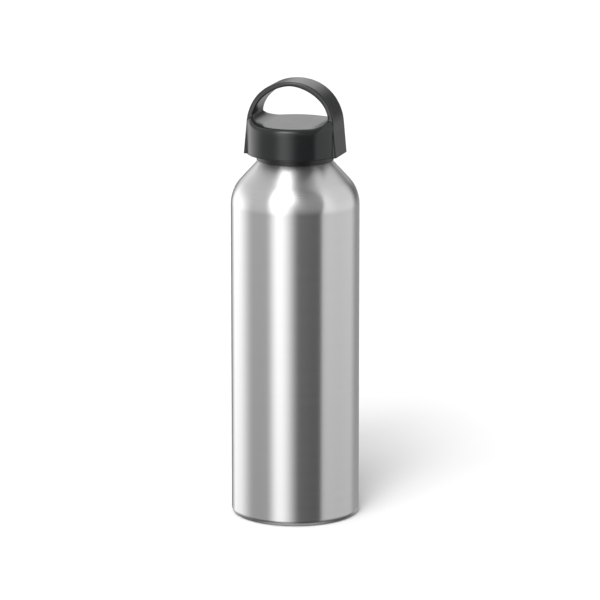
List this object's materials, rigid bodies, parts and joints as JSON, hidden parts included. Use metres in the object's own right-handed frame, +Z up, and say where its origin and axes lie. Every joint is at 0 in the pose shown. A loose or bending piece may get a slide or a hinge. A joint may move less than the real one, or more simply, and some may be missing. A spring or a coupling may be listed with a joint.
{
  "type": "drinking bottle",
  "caption": "Single-wall aluminium drinking bottle with a black screw cap whose arched carry handle leaves a finger opening.",
  "frame": {"origin": "centre of the base, on the plane the bottle stands on", "axes": "+Z up along the bottle's axis; the carry handle spans X, so its finger opening runs through along Y"},
  "size_m": [0.073, 0.073, 0.2513],
  "materials": {
    "brushed_aluminium": "fine brushed, clear lacquered outside, food lacquer inside",
    "charcoal_plastic": "satin moulded",
    "black_plastic": "satin moulded",
    "silicone": "matt, translucent white"
  },
  "bodies": {
    "bottle": {"bottle_body": "brushed_aluminium"},
    "washer": {"seal_gasket": "silicone"},
    "cap": {"cap_shell": "charcoal_plastic", "cap_liner": "black_plastic"}
  },
  "joints": [
    {"name": "cap_rise", "type": "slide", "parent": "bottle", "child": "washer", "axis": [0, 0, 1], "range_m": [0, 0.024]},
    {"name": "cap_turn", "type": "hinge", "parent": "washer", "child": "cap", "pos_m": [0, 0, 0.2155], "axis": [0, 0, 1], "range_deg": [0, 2160]}
  ],
  "couplings": [
    {"joint": "cap_rise", "follows": "cap_turn", "m_per_rad": 0.00063662}
  ]
}
